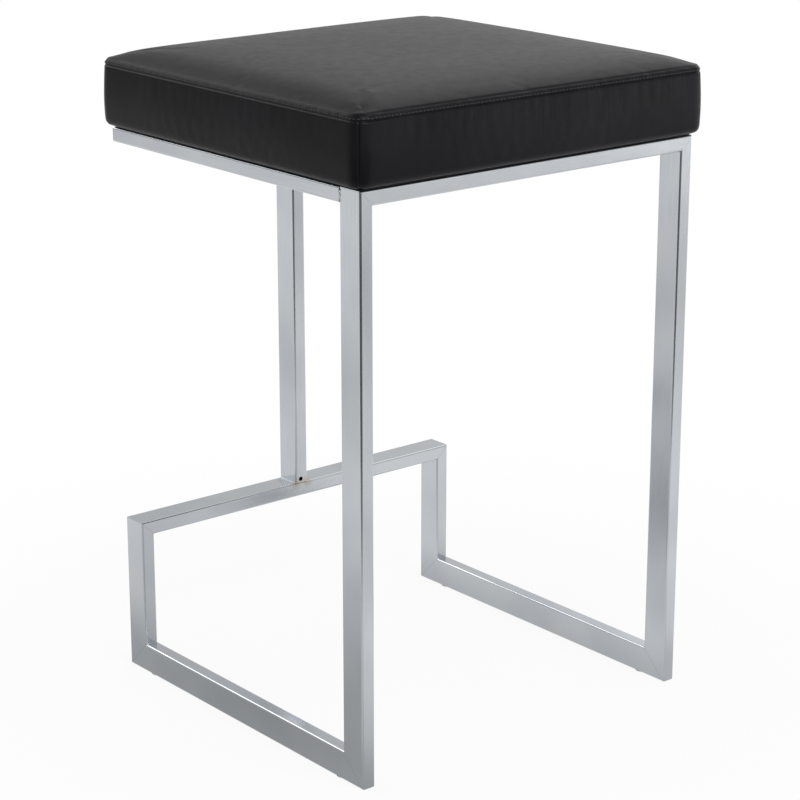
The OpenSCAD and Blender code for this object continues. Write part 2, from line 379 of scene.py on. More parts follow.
@dataclass(frozen=True)
class FauxLeather(Finish):
    """Black polyurethane faux leather with a calendered pebble grain and a semi-matt topcoat.

    The topcoat gives little sheen when seen square on and a broad soft one at a low angle, so the
    top of the pad reads grey and its sides nearly black. The sewing gathers the bands into faint
    upright pull marks, which fade towards the foot and are deeper on the two long bands. The real
    grain is finer than a pixel of the render and is drawn at about twice its size.
    """

    name: str = "black_faux_leather"
    deep: str = "#0F0F12"
    worn: str = "#151418"
    specular: float = 0.12
    roughness: float = 0.36
    uneven_gloss: float = 0.02
    grain: float = 1.7 * MM
    grain_depth: float = 0.05 * MM
    grain_gap: float = 0.28
    crease: float = 9 * MM
    crease_depth: float = 0.015 * MM
    patch: float = 72 * MM
    patch_span: Span = (0.35, 0.7)
    pull: float = 6 * MM
    pull_squeeze: float = 0.09
    pull_depth: float = 0.25 * MM
    seam_z: float = 0.0
    long_side: float = 0.0
    pull_fade: Span = (-48 * MM, -4 * MM)
    pull_end: Span = (-1 * MM, 2 * MM)
    pull_turn: Span = (-14 * MM, -4 * MM)
    short_share: float = 0.12

    def surface(self, tree: Tree, place: Socket) -> Node:
        """Adds the pebble grain, faint creases, the pull marks and an uneven gloss.

        Args:
            tree: The material's nodes.
            place: The object coordinates.

        Returns:
            The shader.
        """
        cells = add_node(tree, "TexVoronoi", lumps(place, self.grain, 1.0), feature="DISTANCE_TO_EDGE")
        pebbles = add_node(tree, "MapRange", span(cells, (0.0, self.grain_gap)), **SMOOTH)
        soft = add_node(tree, "TexNoise", lumps(place, self.crease, 3.0))
        broad = add_node(tree, "TexNoise", lumps(place, self.patch, 2.0))
        patchy = add_node(tree, "MapRange", span(broad, self.patch_span), **SMOOTH)
        tone = add_node(tree, "Mix", shades(patchy, self.deep, self.worn), data_type="RGBA")
        ends = (self.roughness - self.uneven_gloss, self.roughness + self.uneven_gloss)
        gloss = add_node(tree, "MapRange", span(soft, MIDDLE, ends), **SMOOTH)

        drawn = add_node(tree, "Mapping", {"Vector": place, "Scale": (1.0, 1.0, self.pull_squeeze)})
        pulls = add_node(tree, "TexNoise", lumps(drawn, self.pull, 1.5))
        axes = add_node(tree, "SeparateXYZ", {0: place}).outputs
        along = add_node(tree, "Math", {0: axes["Y"]}, operation="ABSOLUTE")
        fade, end = (tuple(self.seam_z + z for z in pair) for pair in (self.pull_fade, self.pull_end))
        turn = tuple(self.long_side + y for y in self.pull_turn)
        spans = (
            span(axes["Z"], fade),
            span(axes["Z"], end, (1.0, 0.0)),
            span(along, turn, (self.short_share, 1.0)),
        )
        where = product(tree, [add_node(tree, "MapRange", inputs, **SMOOTH) for inputs in spans])
        pulls = add_node(tree, "Math", {0: pulls, 1: where}, operation="MULTIPLY")
        layers = [(soft, self.crease_depth), (pulls, self.pull_depth), (pebbles, self.grain_depth)]
        coat = {"Base Color": tone, "Roughness": gloss, "Normal": self.relief(tree, layers)}
        return add_node(tree, "BsdfPrincipled", coat | {"Specular IOR Level": self.specular})


@dataclass(frozen=True)
class BondedThread(Finish):
    """Bonded nylon sewing thread, black and slightly glossy, with the twist of its plies."""

    name: str = "black_bonded_nylon_thread"
    yarn: str = "#19191B"
    worn: str = "#222224"
    roughness: float = 0.45
    ply: float = 0.7 * MM
    ply_depth: float = 0.1 * MM

    def surface(self, tree: Tree, place: Socket) -> Node:
        """Adds the plies as a fine ripple in tone and relief.

        Args:
            tree: The material's nodes.
            place: The object coordinates.

        Returns:
            The shader.
        """
        plies = add_node(tree, "TexNoise", lumps(place, self.ply, 1.0))
        tone = add_node(tree, "Mix", shades(plies, self.yarn, self.worn), data_type="RGBA")
        normal = self.relief(tree, [(plies, self.ply_depth)])
        coat = {"Base Color": tone, "Roughness": self.roughness, "Normal": normal}
        return add_node(tree, "BsdfPrincipled", coat)


@dataclass(frozen=True)
class SpunbondCloth(Finish):
    """Black spunbond polypropylene dust cloth: matt fibres pressed flat in a grid of small dots.

    The embossed dots are a little over a millimetre apart in the real cloth, and are drawn at
    twice that so that they show.
    """

    name: str = "black_spunbond_cloth"
    fibre: str = "#1E1E20"
    pressed: str = "#121214"
    roughness: float = 0.85
    sheen: float = 0.25
    dot: float = 2.4 * MM
    dot_rim: Span = (0.22, 0.34)
    dot_depth: float = 0.15 * MM
    fibre_gap: float = 0.8 * MM
    fibre_depth: float = 0.1 * MM

    def surface(self, tree: Tree, place: Socket) -> Node:
        """Adds the embossed dots and the random fibres.

        Args:
            tree: The material's nodes.
            place: The object coordinates.

        Returns:
            The shader.
        """
        grid = lumps(place, self.dot, 0.0) | {"Randomness": 0.0}
        cells = add_node(tree, "TexVoronoi", grid, voronoi_dimensions="2D")
        dots = add_node(tree, "MapRange", span(cells, self.dot_rim), **SMOOTH)
        fibres = add_node(tree, "TexNoise", lumps(place, self.fibre_gap, 6.0))
        tone = add_node(tree, "Mix", shades(dots, self.pressed, self.fibre), data_type="RGBA")
        normal = self.relief(tree, [(dots, self.dot_depth), (fibres, self.fibre_depth)])
        coat = {"Base Color": tone, "Roughness": self.roughness, "Normal": normal}
        return add_node(tree, "BsdfPrincipled", coat | {"Sheen Weight": self.sheen})


@dataclass(frozen=True)
class BirchPlywood(Finish):
    """Rotary-cut birch plywood: pale, with broad soft grain, and its plies showing at the edge."""

    name: str = "birch_plywood"
    early: str = "#C9A877"
    late: str = "#A98556"
    roughness: float = 0.62
    grain: float = 6 * MM
    grain_squeeze: float = 0.08
    grain_depth: float = 0.1 * MM
    ply: float = 1.5 * MM
    ply_waver: float = 0.3

    def surface(self, tree: Tree, place: Socket) -> Node:
        """Adds grain drawn out along Y and the plies' lines across Z.

        Args:
            tree: The material's nodes.
            place: The object coordinates.

        Returns:
            The shader.
        """
        drawn = add_node(tree, "Mapping", {"Vector": place, "Scale": (1.0, self.grain_squeeze, 1.0)})
        grain = add_node(tree, "TexNoise", lumps(drawn, self.grain, 5.0))
        plies = {"Vector": place, "Scale": 1 / (2 * math.pi * self.ply), "Distortion": self.ply_waver}
        lines = add_node(tree, "TexWave", plies, bands_direction="Z").outputs["Fac"]
        share = add_node(tree, "Math", {0: grain, 1: lines}, operation="MULTIPLY")
        tone = add_node(tree, "Mix", shades(share, self.early, self.late), data_type="RGBA")
        normal = self.relief(tree, [(grain, self.grain_depth)])
        coat = {"Base Color": tone, "Roughness": self.roughness, "Normal": normal}
        return add_node(tree, "BsdfPrincipled", coat)


@dataclass(frozen=True)
class ZincPlate(Finish):
    """Bright zinc plate on turned and pressed steel: cool grey with cloudy patches."""

    name: str = "bright_zinc_plate"
    bright: str = "#B9BEC2"
    cloudy: str = "#979CA1"
    patch: float = 4 * MM
    roughness: Span = (0.28, 0.42)

    def surface(self, tree: Tree, place: Socket) -> Node:
        """Adds the cloudy patches in tone and gloss.

        Args:
            tree: The material's nodes.
            place: The object coordinates.

        Returns:
            The shader.
        """
        patches = add_node(tree, "TexNoise", lumps(place, self.patch, 4.0))
        tone = add_node(tree, "Mix", shades(patches, self.bright, self.cloudy), data_type="RGBA")
        gloss = add_node(tree, "MapRange", span(patches, MIDDLE, self.roughness), **SMOOTH)
        coat = {"Base Color": tone, "Roughness": gloss, "Metallic": 1.0}
        return add_node(tree, "BsdfPrincipled", coat)


@dataclass(frozen=True)
class NaturalNylon(Finish):
    """Natural moulded nylon: milky, faintly yellow, matt where the floor has scuffed it."""

    name: str = "natural_nylon"
    milky: str = "#D9D8D2"
    scuffed: str = "#BDBBB2"
    roughness: float = 0.5
    scuff: float = 3 * MM
    scuff_span: Span = (0.45, 0.7)
    scuff_depth: float = 0.05 * MM

    def surface(self, tree: Tree, place: Socket) -> Node:
        """Adds scuffs in tone and relief.

        Args:
            tree: The material's nodes.
            place: The object coordinates.

        Returns:
            The shader.
        """
        scuffs = add_node(tree, "TexNoise", lumps(place, self.scuff, 5.0))
        worn = add_node(tree, "MapRange", span(scuffs, self.scuff_span), **SMOOTH)
        tone = add_node(tree, "Mix", shades(worn, self.milky, self.scuffed), data_type="RGBA")
        normal = self.relief(tree, [(scuffs, self.scuff_depth)])
        coat = {"Base Color": tone, "Roughness": self.roughness, "Normal": normal}
        return add_node(tree, "BsdfPrincipled", coat)


@dataclass(frozen=True)
class Pool:
    """A pool of painted shade, or of painted light above 1, as the chrome shows the floor: its place, reach
    and level.
    """

    x: float
    y: float
    reach: float
    level: float


@dataclass(frozen=True)
class PaleFloor(Finish):
    """A pale matt floor that keeps the stool's shadow and fades to white round it.

    The chrome shows the floor, so glossy rays see a map of it instead, with light and shade painted
    in: white, with round pools of painted shade and, far out at the back, one of painted light that
    is brighter than white, a painted shadow beside the floor rails, and a painted dark field in front
    of the stool, where the rounded corners that face the camera find their thin dark line.
    """

    name: str = "pale_floor"
    tone: str = "#E4E4E4"
    azimuth: float = 0.0
    fade: Span = (0.2, 0.9)
    fade_levels: Span = (0.9, 1.0)
    # Pools of painted shade, and at the back one of painted light brighter than white.
    pools: tuple[Pool, ...] = (
        Pool(0.36, 0.02, 0.62, 0.5),
        Pool(0.9, -0.95, 0.55, 0.6),
        Pool(4.0, -4.9, 3.5, 0.1),
        Pool(-1.1, 1.75, 0.95, 0.6),
        Pool(-5.6, 3.6, 2.6, 9.0),
    )
    rail_x: float = 0.22
    rail_span: Span = (0.02, 0.12)
    rail_shade: float = 0.75
    front_span: Span = (0.7, 1.0)
    front_cone: Span = (0.4, 0.6)
    front_shade: float = 0.12

    def painted_reflection_map(self, tree: Tree, place: Socket) -> Node:
        """Maps the floor's brightness as the chrome shows it, with its painted shade and painted light.

        Args:
            tree: The material's nodes.
            place: The object coordinates.

        Returns:
            The brightness, 1 where it is white.
        """
        levels = []
        # Round pools of painted shade, and one of painted light far out at the back.
        for pool in self.pools:
            ends = {0: place, 1: Vector((pool.x, pool.y, 0))}
            away = add_node(tree, "VectorMath", ends, operation="DISTANCE")
            levels.append(add_node(tree, "MapRange", span(away, (0.0, pool.reach), (pool.level, 1.0))))
        # A painted shadow beside the floor rails.
        across = add_node(tree, "SeparateXYZ", {0: place}).outputs["X"]
        across = add_node(tree, "Math", {0: across}, operation="ABSOLUTE")
        across = add_node(tree, "Math", {0: across, 1: self.rail_x}, operation="SUBTRACT")
        across = add_node(tree, "Math", {0: across}, operation="ABSOLUTE")
        beside = span(across, self.rail_span, (self.rail_shade, 1.0))
        levels.append(add_node(tree, "MapRange", beside, **SMOOTH))

        # A painted dark field in front of the stool, in a cone towards the camera.
        way = Vector((math.cos(self.azimuth), math.sin(self.azimuth), 0))
        front = add_node(tree, "VectorMath", {0: place, 1: way}, operation="DOT_PRODUCT")
        length = add_node(tree, "VectorMath", {0: place}, operation="LENGTH")
        facing = add_node(tree, "Math", {0: front, 1: length}, operation="DIVIDE")
        far = add_node(tree, "MapRange", span(front, self.front_span), **SMOOTH)
        cone = add_node(tree, "MapRange", span(facing, self.front_cone), **SMOOTH)
        field = add_node(tree, "Math", {0: far, 1: cone}, operation="MULTIPLY")
        levels.append(add_node(tree, "MapRange", span(field, (0.0, 1.0), (1.0, self.front_shade))))
        return product(tree, levels)

    def surface(self, tree: Tree, place: Socket) -> Node:
        """Mixes the lit floor with the white round it and with the painted reflection map for glossy rays.

        Args:
            tree: The material's nodes.
            place: The object coordinates.

        Returns:
            The shader.
        """
        lit = add_node(tree, "BsdfDiffuse", {"Color": linear(self.tone)})
        path = add_node(tree, "LightPath").outputs
        away = add_node(tree, "VectorMath", {0: place}, operation="LENGTH")
        seen = add_node(tree, "MapRange", span(away, self.fade, self.fade_levels), **SMOOTH)
        rays = {0: seen, 1: path["Is Camera Ray"]}
        seen = add_node(tree, "Math", rays, operation="MULTIPLY")
        share = add_node(tree, "Math", {0: seen, 1: path["Is Glossy Ray"]}, operation="MAXIMUM")
        levels = span(path["Is Glossy Ray"], (0.0, 1.0), (1.0, self.painted_reflection_map(tree, place)))
        level = add_node(tree, "MapRange", levels)
        white = add_node(tree, "Emission", {"Color": WHITE, "Strength": level})
        return add_node(tree, "MixShader", {0: share, 1: lit, 2: white})


@dataclass(frozen=True)
class Waves:
    """Soft unevenness of the cover.

    It has its depth, what the two long bands add to that, the length and the height of its waves,
    and a seed that keeps it apart from the others.
    """

    depth: float
    more: float
    length: float
    height: float
    seed: float

    def at(self, run: float, rise: float = 0.0, long: float = 0.0) -> float:
        """Gives how far the cover stands out at a place, negative where it dips."""
        value = noise.noise(Vector((run / self.length, rise / self.height, self.seed)))
        return (self.depth + self.more * long) * value


@dataclass(frozen=True)
class Ridge:
    """A ridge or a groove beside a seam: how far it stands out, and its place and its width."""

    depth: float
    away: float
    width: float

    def at(self, distance: float) -> float:
        """Gives how far the cover stands out at a distance from the seam."""
        return self.depth * bump_shape(distance - self.away, self.width)


@dataclass
class SeatPad:
    """The upholstered pad: foam and cover as one closed form, with its seams and stitches.

    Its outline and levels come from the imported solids. Draws are measured inwards from the widest
    outline, and the crown rises from the crease round the top edge. The long bands are those on
    the two Y sides. Steps and rows are in millimetres: inwards over the top, up from the foot,
    and to either side of a seam.
    """

    leather: Material
    thread: Material
    corner_r: float = 16 * MM
    corner_steps: int = 8
    roll_height: float = 6.4 * MM
    crease_draw: float = 4.6 * MM
    crease_power: float = 1.6
    foot_draw: float = 7 * MM
    foot_roll: float = 7 * MM
    foot_roll_share: float = 0.75
    waist_shares: Span = (-0.3, 0.55)
    slot_height: float = 2.2 * MM
    slot_draw: float = 5 * MM
    seam_draw: float = 1.8 * MM
    lean_reach: float = 45 * MM
    crown_roll: float = 40 * MM
    roll_power: float = 2.2
    dome_share: float = 0.32
    dome_power: float = 2.5
    cell: float = 6.5 * MM
    top_steps: tuple[float, ...] = (0.7, 0.9, 1.9, 3, 4, 4)
    band_rows: tuple[float, ...] = (
        0.8, 1.5, 2.2, 2.8, 3.8, 5.2, 7, 9.5, 12, 15, 20, 25, 30, 36, 42, 48, 53, 57, 60
    )
    roll_shares: tuple[float, ...] = (0.0, 0.33, 0.66, 0.88)
    seam_rows: tuple[float, ...] = (-2.4, -1.5, -0.9, -0.45, 0.45, 0.9, 1.5, 2.4)
    corner_rows: tuple[float, ...] = (-1.8, -1.0, -0.5, 0.5, 1.0, 1.8)
    row_reach: float = 4 * MM
    cap: float = 3 * MM
    frames: int = 20
    pressure: float = 4.0
    slack: float = 0.0008
    top_grip: float = 0.14
    band_grip: float = 0.3
    foot_hold: float = 0.3 * MM
    seam_hold: float = 0.1 * MM
    corner_grip: Ridge = Ridge(0.95, 0.0, 4 * MM)
    groove_depth: float = 0.9 * MM
    groove_more: float = 0.7 * MM
    groove_waver: float = 0.3 * MM
    groove_width: float = 0.85 * MM
    groove_easing: float = 0.4
    groove_turn: float = 0.72
    wobble: Waves = Waves(1.0, 0.0, 16 * MM, 1.0, 4.0)
    gather_depth: float = 0.15 * MM
    gather_width: float = 1.8 * MM
    gather_waver: float = 2.5
    lump_waves: Waves = Waves(0.4 * MM, 0.35 * MM, 7 * MM, 1.0, 8.0)
    lump_row: Ridge = Ridge(1.0, 3.4 * MM, 2.0 * MM)
    puckers: Waves = Waves(0.1 * MM, 0.2 * MM, 9 * MM, 60 * MM, 1.0)
    pucker_span: Span = (-34 * MM, -2 * MM)
    swells: Waves = Waves(0.4 * MM, 0.0, 90 * MM, 60 * MM, 7.0)
    corner_groove: Ridge = Ridge(-1.2 * MM, 0.0, 0.8 * MM)
    corner_ridge: Ridge = Ridge(0.15 * MM, 2.2 * MM, 1.2 * MM)
    dents: Waves = Waves(0.5 * MM, 0.0, 140 * MM, 140 * MM, 2.0)
    dent_span: Span = (2 * MM, 30 * MM)
    edge_sink: float = 0.55 * MM
    edge_waves: Waves = Waves(0.35 * MM, 0.0, 70 * MM, 1.0, 3.0)
    edge_width: float = 1.5 * MM
    short_share: float = 0.1
    side_shift: float = 3.0
    hem: Span = (200 * MM, 190 * MM)
    board_gap: float = 0.15 * MM
    stitch_pitch: float = 4.6 * MM
    stitch_length: float = 3.4 * MM
    stitch_rise: float = 2.2 * MM
    stitch_slant: float = 0.1
    stitch_step: float = 3.1
    thread_r: float = 0.5 * MM
    thread_flat: float = 0.8
    thread_lift: float = 0.1

    def __post_init__(self) -> None:
        """Reads the pad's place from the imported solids."""
        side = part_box("cover_right_band")
        self.half_w: float = side[1].x
        self.half_d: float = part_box("cover_back_band")[1].y
        self.foot_z: float = side[0].z
        self.seam_z: float = side[1].z
        self.top_z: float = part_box("cover_top_panel")[1].z
        self.crease_z: float = self.seam_z + self.roll_height
        self.board: tuple[Vector, Vector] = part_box("seat_board")

    def past_corner(self, x: float, y: float) -> Span:
        """Measures how far a place lies beyond the straight stretches of the outline."""
        return abs(x) - (self.half_w - self.corner_r), abs(y) - (self.half_d - self.corner_r)

    def outline(self, x: float, y: float) -> tuple[float, Vector]:
        """Measures a place against the pad's widest outline.

        Args:
            x: Place across the pad.
            y: Place along the pad.

        Returns:
            The distance inside the outline, and the outward direction in plan.
        """
        across, along = self.past_corner(x, y)
        if across > 0 and along > 0:
            reach = math.hypot(across, along)
            way = Vector((math.copysign(across, x), math.copysign(along, y))) / max(reach, TINY)
            return self.corner_r - reach, way
        if across > along:
            return self.corner_r - across, Vector((math.copysign(1.0, x), 0.0))
        return self.corner_r - along, Vector((0.0, math.copysign(1.0, y)))

    def band_draw(self, z: float) -> float:
        """Says how far the band is drawn in at a height: it rolls under above a slot at its foot.

        Args:
            z: The height.

        Returns:
            The distance inwards from the widest outline.
        """
        height = z - self.foot_z
        roll = min(1.0, max(0.0, 1 - (height - self.slot_height) / self.foot_roll))
        under = self.foot_roll_share * self.foot_draw * (1 - math.sqrt(1 - roll**2))
        full = smoothstep(*self.waist_shares, height / (self.seam_z - self.foot_z))
        waist = (1 - self.foot_roll_share) * self.foot_draw * (1 - full)
        slot = self.slot_draw * (1 - smoothstep(0.0, self.slot_height, height))
        lean = self.seam_draw * max(0.0, 1 - (self.seam_z - z) / self.lean_reach) ** 2
        return under + waist + slot + lean

    def crown(self, x: float, y: float) -> float:
        """Gives the crown's share of its full rise: rolled edges and, inside them, a low dome.

        Args:
            x: Place across the pad.
            y: Place along the pad.

        Returns:
            The share, 0 at the crease and 1 in the middle.
        """
        rolled = domed = 1.0
        for place, half in ((abs(x), self.half_w), (abs(y), self.half_d)):
            inner = half - self.crease_draw
            inset = max(0.0, inner - place)
            rolled *= 1 - max(0.0, 1 - inset / self.crown_roll) ** self.roll_power
            domed *= 1 - (1 - inset / inner) ** self.dome_power
        return rolled + self.dome_share * (domed - rolled)

    def block(self) -> Form:
        """Cuts a rounded block into small cells along its rows, columns and edge rings.

        Returns:
            The open shell of the pad, without its underside.
        """
        form = bmesh.new()
        bmesh.ops.create_cube(form, size=1.0)
        size = Vector((2 * self.half_w, 2 * self.half_d, self.crease_z - self.foot_z))
        bmesh.ops.scale(form, vec=size, verts=form.verts)
        bmesh.ops.translate(form, vec=(0, 0, (self.crease_z + self.foot_z) / 2), verts=form.verts)
        upright = [e for e in form.edges if abs(e.verts[0].co.z - e.verts[1].co.z) > self.roll_height]
        steps = {"segments": self.corner_steps, "profile": 0.5, "affect": "EDGES", "material": -1}
        bmesh.ops.bevel(form, geom=upright, offset=self.corner_r, **steps)
        bottom = min(form.faces, key=lambda face: face.calc_center_median().z)
        bmesh.ops.delete(form, geom=[bottom], context="FACES_ONLY")
        top = max(form.faces, key=lambda face: face.calc_center_median().z)
        for step in self.top_steps:
            bmesh.ops.inset_region(form, faces=[top], thickness=step * MM, use_even_offset=True)
        rows = [self.foot_z + rise * MM for rise in self.band_rows]
        rows += [self.seam_z + self.roll_height * share for share in self.roll_shares]
        cuts = [(Vector((0, 0, z)), UP) for z in rows]
        for axis, half in ((Vector((1, 0, 0)), self.half_w), (Vector((0, 1, 0)), self.half_d)):
            straight = half - self.corner_r
            count = round(2 * straight / self.cell)
            cuts += [(axis * (straight * (2 * i / count - 1)), axis) for i in range(count + 1)]
        for point, normal in cuts:
            slice_faces(form, form.faces[:], point, normal)
        return form

    def shape(self, form: Form) -> None:
        """Draws in the band and the crease, and raises the crown.

        Args:
            form: The block, whose points are moved.
        """
        rise = self.top_z - self.crease_z
        for vert in form.verts:
            inset, way = self.outline(vert.co.x, vert.co.y)
            if vert.co.z > self.crease_z - WELD:
                draw = self.crease_draw * (1 - inset / self.half_d)
                place = vert.co - Vector((way.x, way.y, 0)) * draw
                vert.co.z = self.crease_z + rise * self.crown(place.x, place.y)
            elif vert.co.z > self.seam_z + WELD:
                share = (vert.co.z - self.seam_z) / self.roll_height
                draw = self.seam_draw + (self.crease_draw - self.seam_draw) * share**self.crease_power
            else:
                draw = self.band_draw(vert.co.z)
            vert.co.x -= way.x * draw
            vert.co.y -= way.y * draw

    def grip(self, place: Vector) -> float:
        """Says how firmly the cover is held at a place, from 0 to 1.

        Args:
            place: A point of the shell.

        Returns:
            The grip: full at the seam and at the foot, firm at the corners, soft elsewhere.
        """
        x, y, z = place
        at_foot = z < self.foot_z + self.slot_height + self.foot_hold
        if at_foot or abs(z - self.seam_z) < self.seam_hold:
            return 1.0
        grip = self.top_grip if z > self.crease_z else self.band_grip
        across, along = self.past_corner(x, y)
        if across > 0 and along > 0:
            return max(grip, self.corner_grip.at(across - along))
        return grip

    def inflate(self, piece: Piece) -> None:
        """Lets the cover settle over its foam between the seams, with Blender's cloth.

        The seams and the foot hold fast, and the foam holds the rest by a soft grip, so that the
        pressure swells the panels a little and the cover's slack settles in faint creases.

        Args:
            piece: The pad's shell, whose mesh takes the settled shape.
        """
        held = piece.vertex_groups.new(name="held")
        mesh = piece.data
        for vert in mesh.vertices:
            held.add([vert.index], self.grip(vert.co), "REPLACE")
        start = [vert.co.copy() for vert in mesh.vertices]
        cloth = piece.modifiers.new("air", "CLOTH")
        settings = cloth.settings
        settings.quality = 5
        settings.mass = 0.3
        settings.tension_stiffness = settings.compression_stiffness = 20
        settings.shear_stiffness = 8
        settings.bending_stiffness = 1.0
        settings.use_pressure = True
        settings.uniform_pressure_force = self.pressure
        settings.vertex_group_mass = held.name
        settings.pin_stiffness = 1.0
        settings.shrink_min = -self.slack
        settings.effector_weights.gravity = 0
        cloth.collision_settings.use_collision = False
        scene = bpy.context.scene
        for step in range(1, self.frames + 1):
            scene.frame_set(step)
        settled = piece.evaluated_get(bpy.context.evaluated_depsgraph_get()).data
        moved = [vert.co.copy() for vert in settled.vertices]
        piece.modifiers.remove(cloth)
        scene.frame_set(1)
        steps = [new - old for old, new in zip(start, moved)]
        for vert, old, step in zip(mesh.vertices, start, steps):
            if step.length > self.cap:
                step = step * (self.cap / step.length)
            vert.co = old + step
        lengths = sorted(step.length / MM for step in steps)
        LOG.info("the cover moved by %.2f mm at the median", lengths[len(lengths) // 2])
        LOG.info("and by up to %.2f mm, held to %.1f mm", lengths[-1], self.cap / MM)

    def refine(self, piece: Piece) -> Form:
        """Smooths the shell by one subdivision, with its seams kept sharp.

        Args:
            piece: The swollen shell.

        Returns:
            The finer shell as a bmesh.
        """
        form = bmesh.new()
        form.from_mesh(piece.data)
        layer = form.edges.layers.float.new("crease_edge")
        for edge in form.edges:
            if all(abs(vert.co.z - self.seam_z) < NEAR for vert in edge.verts):
                edge[layer] = 1.0
        form.to_mesh(piece.data)
        form.free()
        smooth = piece.modifiers.new("smooth", "SUBSURF")
        smooth.levels = smooth.render_levels = 1
        finer = bpy.data.meshes.new_from_object(
            piece.evaluated_get(bpy.context.evaluated_depsgraph_get()), preserve_all_data_layers=False
        )
        form = bmesh.new()
        form.from_mesh(finer)
        bpy.data.meshes.remove(finer)
        return form

    def cut_seams(self, form: Form) -> None:
        """Adds fine rows beside the seams, so that their grooves are geometry.

        Args:
            form: The refined shell.
        """
        for offset in self.seam_rows:
            level = self.seam_z + offset * MM
            faces = [f for f in form.faces if abs(f.calc_center_median().z - level) < self.row_reach]
            slice_faces(form, faces, Vector((0, 0, level)), UP)
        for sx, sy in ((-1, -1), (-1, 1), (1, -1), (1, 1)):
            centre = Vector((sx * (self.half_w - self.corner_r), sy * (self.half_d - self.corner_r), 0))
            across = Vector((sy, -sx, 0)).normalized()
            for offset in self.corner_rows:
                faces = []
                for face in form.faces:
                    middle = face.calc_center_median() - centre
                    outside = middle.x * sx > 0 and middle.y * sy > 0
                    if outside and middle.z < self.seam_z + MM / 2:
                        if abs(middle.dot(across)) < self.row_reach:
                            faces.append(face)
                slice_faces(form, faces, centre + across * offset * MM, across)

    def beside_seam(self, run: float, z: float, way: Vector) -> float:
        """Presses in the seam of the top edge, with lumps, gathers and puckers beside it.

        Args:
            run: Distance along the side.
            z: The height.
            way: The outward direction in plan.

        Returns:
            How far the cover stands out, negative in the groove.
        """
        gap = z - self.seam_z
        long = abs(way.y)
        wobble = self.wobble.at(run)
        depth = self.groove_depth + self.groove_more * long + self.groove_waver * wobble
        corner = 1 - smoothstep(self.groove_turn, 1.0, max(abs(way.x), long))
        groove = depth * (1 - self.groove_easing * corner) * bump_shape(gap, self.groove_width)
        lump = self.lump_waves.at(run, 0.0, long) * self.lump_row.at(gap)
        turn = 2 * math.pi * run / self.stitch_pitch + self.gather_waver * wobble
        gather = self.gather_depth * math.sin(turn)
        gather *= bump_shape(gap - self.stitch_rise, self.gather_width)
        below = smoothstep(*self.pucker_span, gap) if gap < 0 else 0.0
        return lump + gather + self.puckers.at(run, z, long) * below - groove

    def sew(self, form: Form) -> None:
        """Presses in the seams, gathers the cover beside them and lets the top sink unevenly.

        Args:
            form: The shell with its fine rows, whose points are moved.
        """
        moves = []
        for vert in form.verts:
            x, y, z = vert.co
            inset, way = self.outline(x, y)
            across, along = self.past_corner(x, y)
            run = x if abs(way.y) > abs(way.x) else y + self.side_shift
            out = 0.0
            if z < self.crease_z + MM and inset < 3 * self.crease_draw:
                out += self.beside_seam(run, z, way)
            if z < self.seam_z + NEAR:
                out += self.swells.at(run, z)
                if across > 0 and along > 0:
                    slant = (across - along) / math.sqrt(2)
                    out += self.corner_groove.at(slant) + self.corner_ridge.at(slant)
            up = 0.0
            if z > self.crease_z:
                up = self.dents.at(x, y) * smoothstep(*self.dent_span, inset)
            edge = math.hypot(inset - self.crease_draw, z - self.crease_z)
            sunk = self.edge_sink + self.edge_waves.at(run)
            sunk *= self.short_share + (1 - self.short_share) * abs(way.y)
            sunk *= bump_shape(edge, self.edge_width)
            moves.append(Vector((way.x * (out - sunk), way.y * (out - sunk), up - sunk)))
        for vert, move in zip(form.verts, moves):
            vert.co += move

    def settle_height(self, form: Form) -> None:
        """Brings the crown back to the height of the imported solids.

        Args:
            form: The sewn shell.
        """
        peak = max(vert.co.z for vert in form.verts)
        share = (self.top_z - self.crease_z) / (peak - self.crease_z)
        for vert in form.verts:
            if vert.co.z > self.crease_z:
                vert.co.z = self.crease_z + (vert.co.z - self.crease_z) * share

    def close_underside(self, form: Form) -> None:
        """Turns the cover's margin under the board, and closes the foam round the board.

        Args:
            form: The sewn shell.
        """
        low, high = self.board
        under = low.z - self.board_gap
        gap = 2 * self.board_gap
        rings = (
            (*self.hem, self.foot_z),
            (*self.hem, under),
            (high.x + gap, high.y + gap, under),
            (high.x + gap, high.y + gap, high.z + gap),
        )
        loop = [e for e in form.edges if e.is_boundary]
        draw = self.foot_draw + self.slot_draw
        start = self.half_w - draw, self.half_d - draw
        for across, along, height in rings:
            made = bmesh.ops.extrude_edge_only(form, edges=loop)["geom"]
            for vert in (part for part in made if isinstance(part, bmesh.types.BMVert)):
                vert.co.x *= across / start[0]
                vert.co.y *= along / start[1]
                vert.co.z = height
            start = across, along
            loop = [part for part in made if isinstance(part, bmesh.types.BMEdge) and part.is_boundary]
        bmesh.ops.edgeloop_fill(form, edges=loop)

